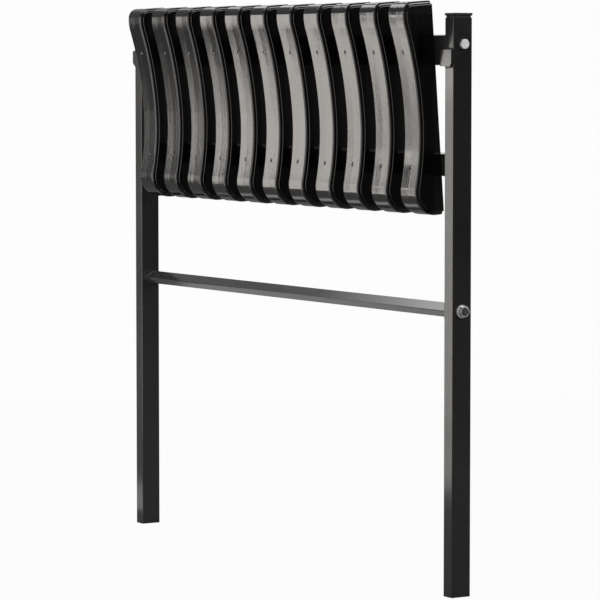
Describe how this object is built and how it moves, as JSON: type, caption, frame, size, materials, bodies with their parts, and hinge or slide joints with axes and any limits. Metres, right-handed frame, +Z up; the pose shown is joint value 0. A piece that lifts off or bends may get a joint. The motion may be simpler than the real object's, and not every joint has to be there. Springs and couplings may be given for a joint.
{
  "type": "folding bench",
  "caption": "Folding bench with a dished slatted seat that hangs between two tubular posts, swings up to level and is held there by slide bolts on catch plates.",
  "frame": {"origin": "at the level of the posts' lower ends, midway between the posts", "axes": "+X along the bench, +Y towards the back, +Z up along the posts"},
  "size_m": [0.8874, 0.0829, 0.7992],
  "materials": {
    "black_coated_steel": "satin black powder coat",
    "zinc_steel": "zinc plated",
    "dark_screws": "blackened steel",
    "slat_plastic": "glossy moulded black",
    "cap_plastic": "matt black",
    "block_plastic": "matt black nylon"
  },
  "bodies": {
    "frame": {"post_left": "black_coated_steel", "post_right": "black_coated_steel", "post_cap_left": "cap_plastic", "post_cap_right": "cap_plastic", "crossbar": "black_coated_steel", "crossbar_end_plates": "black_coated_steel", "crossbar_studs": "dark_screws", "crossbar_nuts": "zinc_steel", "catch_plate_left": "black_coated_steel", "catch_plate_right": "black_coated_steel", "pivot_bolts": "zinc_steel", "pivot_nuts": "zinc_steel"},
    "seat": {"upper_rail": "black_coated_steel", "lower_rail": "black_coated_steel", "hinge_block_left": "block_plastic", "hinge_block_right": "block_plastic", "hinge_block_screws": "dark_screws", "lower_rail_plugs": "cap_plastic", "slat_screws_upper": "dark_screws", "slat_screws_lower": "dark_screws", "slat_01": "slat_plastic", "slat_02": "slat_plastic", "slat_03": "slat_plastic", "slat_04": "slat_plastic", "slat_05": "slat_plastic", "slat_06": "slat_plastic", "slat_07": "slat_plastic", "slat_08": "slat_plastic", "slat_09": "slat_plastic", "slat_10": "slat_plastic", "slat_11": "slat_plastic"},
    "lock_left": {"lock_bolt_left": "zinc_steel", "lock_knob_left": "cap_plastic"},
    "lock_right": {"lock_bolt_right": "zinc_steel", "lock_knob_right": "cap_plastic"}
  },
  "joints": [
    {"name": "seat_swing", "type": "hinge", "parent": "frame", "child": "seat", "pos_m": [0, 0, 0.7411], "axis": [-1, 0, 0], "range_deg": [0, 94.2]},
    {"name": "lock_left_slide", "type": "slide", "parent": "seat", "child": "lock_left", "axis": [-1, 0, 0], "range_m": [0, 0.007]},
    {"name": "lock_right_slide", "type": "slide", "parent": "seat", "child": "lock_right", "axis": [1, 0, 0], "range_m": [0, 0.007]}
  ]
}
